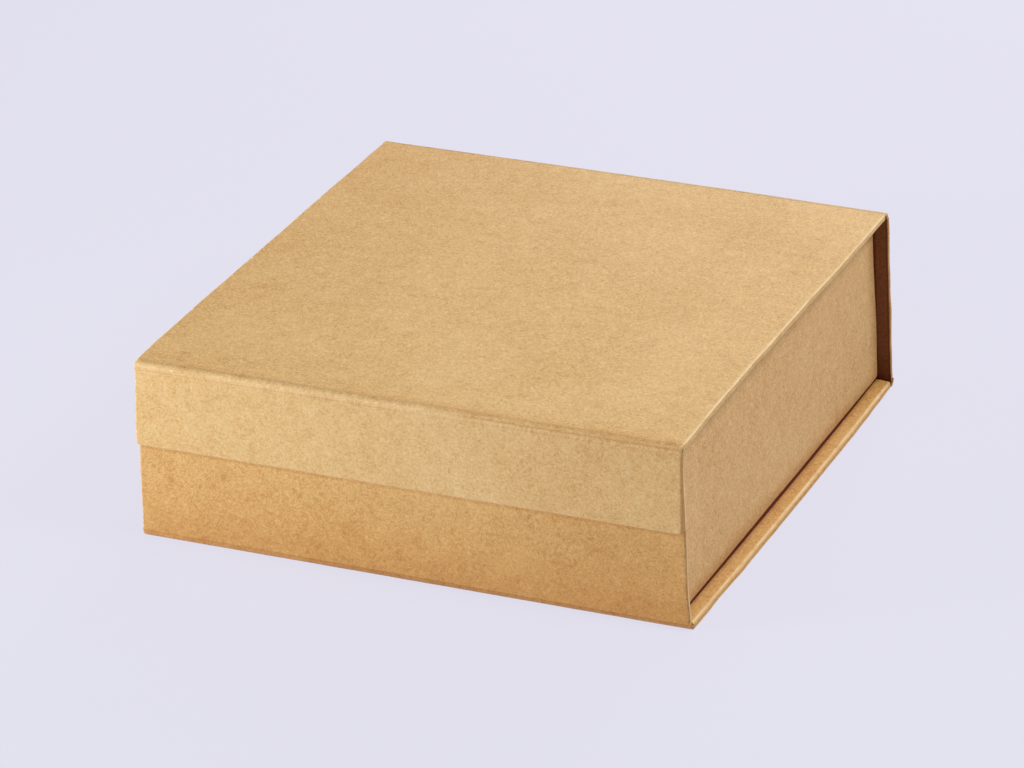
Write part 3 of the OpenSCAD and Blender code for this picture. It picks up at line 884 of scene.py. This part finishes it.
# Back panel: painted shade on the rows of its ends.
keep(board("back_panel_board", (hi[0], lo[1], lo[2]), -X, Z, hi[0] - lo[0], hi[2] - lo[2], 41, folds="b- b+",
           dips={"b-": 0.08, "b+": 0.08}, lead=4.0, wobble=0.2, warp=back_warp, rub_and_highlight={"a-": 0.05, "a+": 0.05},
           shade={"a-": BACK_SHADE, "a+": BACK_SHADE}, shade_brown={"a-": BACK_SHADE_BROWN, "a+": BACK_SHADE_BROWN}), "tray", "back_panel", m_back)

# Base: the ledges show its upper side, so the grid's outer face is the inner side, up; the box stands on the flat one
lo, hi = node_box("base_panel")
BASE_LO, BASE_HI = lo, hi


def base_warp(p):
    p = p.copy()
    v = np.clip((p[:, 1] - BASE_LO[1]) / (BASE_HI[1] - BASE_LO[1]), 0, 1)
    x, z = p[:, 0].copy(), p[:, 2]
    near = smooth(abs(x), 60, 113)
    p[:, 0] += np.sign(x) * near * (0.62 * np.sin(v * math.pi) - 0.12)
    out = smooth(x, 60, 113) + 0.5 * smooth(-x, 60, 113)
    p[:, 0] += np.sign(x) * out * (0.35 + 0.7 * (1 - smooth(z, 0.2, 2.3))) * (1 - 0.5 * smooth(v, 0.85, 1))
    return p


# Base: a painted highlight on rubbed paper along the ledge edges, and painted shade on their lower rows.
keep(board("base_board", lo, X, Y, hi[0] - lo[0], hi[1] - lo[1], 53, folds="b- b+",
           dips={"b-": 0.0, "b+": 0.0}, swell=0.0, shoulder=0.16, r=0.95, wobble=0.14, warp=base_warp, groove=0.16,
           rub_and_highlight={"a-": 0.3, "a+": 0.3}, fade={"b-": (0.2, 1.0), "b+": (0.2, 1.0)},
           shade={"a-": BASE_SHADE, "a+": BASE_SHADE}, gleam={"a-": BASE_GLEAM, "a+": BASE_GLEAM}), "tray", "base_panel", m_base)

# Side walls: outer face towards +X or -X


def right_wall_warp(p):
    p = tuck(p.copy())
    x, z = p[:, 0].copy(), p[:, 2]
    p[:, 0] -= 2.3 * lean(z, 14, 72)
    p[:, 0] += 0.3 * (1 - smooth(z, 6, 20)) * smooth(x, 104.8, 106.6)
    return p


for side, node, seed in ((1, "right_wall", 61), (-1, "left_wall", 67)):
    lo, hi = node_box(node)
    if side > 0:
        keep(board("right_wall_board", (lo[0], lo[1], lo[2]), Y, Z, hi[1] - lo[1], hi[2] - lo[2], seed, swell=0.1,
                   wobble=0.1, cr=1.4, warp=right_wall_warp), "tray", node, m_side)
    else:
        keep(board("left_wall_board", (hi[0], hi[1], lo[2]), -Y, Z, hi[1] - lo[1], hi[2] - lo[2], seed, swell=0.1,
                   wobble=0.1, cr=1.4, warp=lambda p: tuck(p.copy())), "tray", node, m_side)

# ---------------------------------------------------------------------------
# The folds
# ---------------------------------------------------------------------------

STEPS = 17
TUCK = (1.0, 0.8, 0.6, 0.4, 0.2)


def fold_section(cy, cz, a0, a1, lap0, lap1, dip0, dip1, pinch=None, move=None):
    """A fold's outer side, from angle a0 down to a1 about (cy, cz). Its ends lap the panels beside it by lap0 and
    lap1 and sink into their faces; dip0 and dip1 give, for an x, how deep the crease at each end is, pinch how deep one
    between them is and where, and move how far each point shifts."""
    d0 = np.array([math.cos(math.radians(a0)), math.sin(math.radians(a0))])
    d1 = np.array([math.cos(math.radians(a1)), math.sin(math.radians(a1))])
    t0 = np.array([-d0[1], d0[0]])
    t1 = -np.array([-d1[1], d1[0]])
    c = np.array([cy, cz])

    def section(x):
        pts, core = [], []
        e0, e1 = dip0(x), dip1(x)
        for s in TUCK:
            pts.append(c + d0 * (T + 0.02 - e0 - 0.16 * s ** 1.5) + t0 * lap0 * s)
            core.append(0.0)
        for k in range(STEPS):
            f = k / (STEPS - 1)
            a = math.radians(a0 + (a1 - a0) * f)
            rho = T + 0.02 - e0 * math.exp(-((f * 90) / 10) ** 2) - e1 * math.exp(-(((1 - f) * 90) / 10) ** 2)
            if pinch:
                deep, at = pinch(x)
                rho -= deep * math.exp(-(((f - at) * 90) / 9) ** 2)
            pts.append(c + rho * np.array([math.cos(a), math.sin(a)]))
            core.append(rho - 0.35)
        for s in TUCK[::-1]:
            pts.append(c + d1 * (T + 0.02 - e1 - 0.16 * s ** 1.5) + t1 * lap1 * s)
            core.append(0.0)
        pts = np.array(pts)
        if move:
            pts = pts + move(x)
        return pts, np.array(core)

    return section


TURN = np.concatenate([[0] * len(TUCK), np.linspace(0, 1, STEPS), [1] * len(TUCK)])


def bell(at, width):
    return np.exp(-((TURN - at) / width) ** 2)


lid_lo, lid_hi = node_box("lid_front_fold")
FRONT_C = (lid_hi[1], lid_lo[2])                      # centre of the front fold
half_lid = lid_hi[0]
lo, hi = node_box("lid_back_fold")
BACK_C = (lo[1], lo[2])
lo, hi = node_box("base_front_fold")
BF_C = (hi[1], hi[2])
half_case = hi[0]
lo, hi = node_box("base_back_fold")
BB_C = (lo[1], hi[2])

# The folds' tints are painted light and shade: the base folds, low by the floor, are made darker and browner.
m_fold = kraft("kraft_fold", tint=(0.92, 0.895, 0.825))
m_fold_low = kraft("kraft_fold_low", tint=(0.86, 0.74, 0.55))



def rise(x, lo, hi):
    return float(smooth(x, lo, hi))


# The front fold, from the flap up to the lid: a rubbed ridge with a painted highlight at the left that thins out to the
# right, where a second crease, darkened with painted shade, runs below the first; painted shade also lies along its
# edge by the lid


def right_part(x):
    return rise(x, -2, 45)


sec = fold_section(*FRONT_C, 180, 90, 1.6, 1.6, lambda x: 0.03, lambda x: 0.10 + 0.05 * right_part(x),
                   pinch=lambda x: (0.15 * right_part(x), 0.33), move=lambda x: np.array([[0.0, float(sag(x))]]))
front_fold = strip("front_top_fold", sec, half_lid, 71, tip=0.9 * smooth(TURN, 0.5, 0.8), ends=(-half_lid + 0.7, half_lid - 0.8),
                   marks=lambda x: np.clip(0.6 * right_part(x) * bell(0.30, 0.11) + 0.15 * right_part(x) * (TURN > 0.3)
                                           + (0.30 + 0.2 * right_part(x)) * bell(1.0, 0.20), 0, 1),
                   fold_shade=lambda x: 0.14 * right_part(x) * bell(0.28, 0.12),
                   rub_and_highlight=lambda x: (0.25 - 0.15 * right_part(x)) * bell(0.22, 0.26))
keep(front_fold, None, "lid_front_fold", m_fold)
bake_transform(front_fold)




def back_move(x):
    u = x / 112.0
    lift = 0.38 * (1 - u ** 2) + 0.5 * max(-u, 0) - 0.35 * max(u, 0) - 0.35 * rise(u, 0.4, 0.75)
    return np.stack([np.zeros(len(TURN)), lift * (1 - TURN)], 1)


sec = fold_section(*BACK_C, 90, 0, 1.4, 0.6, lambda x: 0.03, lambda x: 0.14, move=back_move)
back_fold = strip("back_top_fold", sec, half_lid, 73, ends=(-half_lid + 0.85, half_lid - 1.6), marks=lambda x: 0.1 * bell(0.0, 0.15) + 0.7 * bell(1.0, 0.45),
                  rub_and_highlight=lambda x: 0.1 * bell(0.3, 0.2))
keep(back_fold, None, "lid_back_fold", m_fold)
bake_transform(back_fold)



def base_move(x):
    return np.stack([-0.8 * rise(x, -60, 113) * smooth(TURN, 0, 1), np.zeros(len(TURN))], 1)


# The base front fold is darkened all along with painted shade, more towards the right and towards the floor.
sec = fold_section(*BF_C, 270, 180, 0.5, 1.2, lambda x: 0.14, lambda x: 0.05 + 0.11 * rise(x, -70, 60), move=base_move)
keep(strip("front_base_fold", sec, half_case, 79, ends=(-half_case - 0.2, half_case + 0.85),
           marks=lambda x: np.clip(0.5 + 0.25 * bell(1.0, 0.14) - 0.15 * bell(0.78, 0.10), 0, 1),
           heart=0.1, fold_shade=lambda x: 0.2 + 0.15 * rise(x, -100, 0) + (0.2 + 0.2 * rise(x, -100, 40)) * bell(0.0, 0.45)
           + 0.35 * rise(x, -100, 0) * bell(0.25, 0.16)),
     "tray", "base_front_fold", m_fold_low)
sec = fold_section(*BB_C, 0, -90, 0.6, 0.5, lambda x: 0.14, lambda x: 0.14)
keep(strip("back_base_fold", sec, half_case, 83, ends=(-half_case, half_case + 0.6), marks=lambda x: 0.7 * bell(0.0, 0.12) + 0.9 * bell(1.0, 0.3),
           rub_and_highlight=lambda x: 0.1 * bell(0.5, 0.2)), "tray", "base_back_fold", m_fold_low)

# ---------------------------------------------------------------------------
# The pieces whose solids stay: tabs, strips, linings, tapes and discs
# ---------------------------------------------------------------------------

m_tab = kraft("kraft_tab", tint=(0.98, 0.97, 0.95), shift=310.0, has_marks=False)
m_lining = lining("lining_tray", 11.0)
m_lining2 = lining("lining_lid", 57.0)
m_strip = lining("lining_strip", 93.0)
m_tape = tape_paper("tape_film")
m_nickel = nickel("nickel_plate")
keep(sheet("lid_lining_sheet", "lid_lining", lid_warp), "lid", "lid_lining", m_lining2, "lining_paper")
keep(sheet("flap_lining_sheet", "flap_lining", flap_warp), "flap", "flap_lining", m_lining2, "lining_paper")
for node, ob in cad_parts.items():
    if node in made:
        continue
    if node.endswith("_tab"):
        dress(ob, m_tab)
        bv = ob.modifiers.new("paper_edge", "BEVEL")
        bv.width, bv.segments, bv.limit_method = 0.0004, 3, "ANGLE"
        bv.angle_limit = math.radians(40)
    elif node.endswith("_tape"):
        dress(ob, m_tape)
    elif node.endswith("_strip"):
        dress(ob, m_strip)
    elif node == "tray_lining":
        dress(ob, m_lining)
    elif node.endswith("_lining"):
        dress(ob, m_lining2)
    else:
        dress(ob, m_nickel)
        bv = ob.modifiers.new("rim", "BEVEL")
        bv.width, bv.segments, bv.limit_method = 0.00025, 2, "ANGLE"
        bv.angle_limit = math.radians(40)

# ---------------------------------------------------------------------------
# Floor, light and camera
# ---------------------------------------------------------------------------

scene = bpy.context.scene
FLOOR_RGB = (0.775, 0.761, 0.871)

g = Tree("floor_paper")
g.put(g.bsdf.inputs["Base Color"], (0.78, 0.77, 0.87, 1))
g.bsdf.inputs["Roughness"].default_value = 0.95
g.bsdf.inputs["Specular IOR Level"].default_value = 0.0
glow = g.node("ShaderNodeEmission", {"Color": (*FLOOR_RGB, 1), "Strength": 1.0})
both = g.node("ShaderNodeMixShader", {"Fac": 0.9})
g.nt.links.new(g.bsdf.outputs[0], both.inputs[1])
g.nt.links.new(glow.outputs[0], both.inputs[2])
g.nt.links.new(both.outputs[0], g.out.inputs["Surface"])
me = bpy.data.meshes.new("floor")
s = 6.0
me.from_pydata([(-s, -s, -0.0003), (s, -s, -0.0003), (s, s, -0.0003), (-s, s, -0.0003)], [], [(0, 1, 2, 3)])
floor = bpy.data.objects.new("floor", me)
scene.collection.objects.link(floor)
floor.data.materials.append(g.mat)

# A pale wall far round the floor, for low angles. Only the camera sees it, so it adds no light.
turns, rows = 96, ((5.6, -0.0004), (5.6, 4.0))
ring = [(r * math.cos(2 * math.pi * k / turns), r * math.sin(2 * math.pi * k / turns), z) for r, z in rows for k in range(turns)]
wall_faces = [(k, k + turns, (k + 1) % turns + turns, (k + 1) % turns) for k in range(turns)]
w = Tree("wall_paper")
w.nt.nodes.remove(w.bsdf)
pale = w.node("ShaderNodeEmission", {"Color": (*FLOOR_RGB, 1), "Strength": 1.0})
w.nt.links.new(pale.outputs[0], w.out.inputs["Surface"])
me = bpy.data.meshes.new("wall")
me.from_pydata(ring, [], wall_faces)
wall = bpy.data.objects.new("wall", me)
scene.collection.objects.link(wall)
wall.data.materials.append(w.mat)
wall.visible_diffuse = wall.visible_glossy = wall.visible_transmission = wall.visible_shadow = False

world = bpy.data.worlds.new("studio")
scene.world = world
world.use_nodes = True
wn = world.node_tree.nodes["Background"]
wn.inputs["Color"].default_value = (1.0, 0.985, 0.90, 1)
wn.inputs["Strength"].default_value = 0.12


def area(name, at, towards, size, watts, colour=(1, 1, 1)):
    data = bpy.data.lights.new(name, "AREA")
    data.shape = "DISK"
    data.size = size
    data.energy = watts
    data.color = colour
    ob = bpy.data.objects.new(name, data)
    scene.collection.objects.link(ob)
    ob.location = at
    from mathutils import Vector
    ob.rotation_mode = "QUATERNION"
    ob.rotation_quaternion = (Vector(towards) - Vector(at)).to_track_quat("-Z", "Y")
    return ob


area("key", (-0.72, -0.62, 0.20), (0, 0, 0.04), 0.35, 8.6, (0.952, 1.0, 0.985))
area("back", (0.0, 1.33, 0.572), (0, 0, 0.04), 0.7, 14.1, (0.905, 0.878, 1.0))
area("right_high", (0.806, -0.13, 0.963), (0, 0, 0.04), 0.52, 6.2, (0.975, 1.0, 0.91))
area("right_back", (0.60, 0.50, 0.70), (0, 0, 0.04), 0.45, 0.9, (0.88, 0.98, 1.0))
area("top", (0.0, 0.0, 1.10), (0, 0, 0.04), 0.7, 1.1, (1.0, 1.0, 0.97))

cam_data = bpy.data.cameras.new("camera")
cam = bpy.data.objects.new("camera", cam_data)
scene.collection.objects.link(cam)
cam_data.sensor_width = 36.0
cam_data.lens = 172.4681
cam_data.clip_start, cam_data.clip_end = 0.05, 60
right, up, back = (0.92145, 0.387902, -0.021485), (-0.144947, 0.394573, 0.90736), (0.360444, -0.832973, 0.419805)
cam.matrix_world = Matrix((
    (right[0], up[0], back[0], 0.69349),
    (right[1], up[1], back[1], -1.61624),
    (right[2], up[2], back[2], 0.84676),
    (0, 0, 0, 1)))
scene.camera = cam

scene.view_settings.view_transform = "Standard"
scene.view_settings.look = "None"
scene.view_settings.exposure = 0.0
scene.view_settings.gamma = 1.0
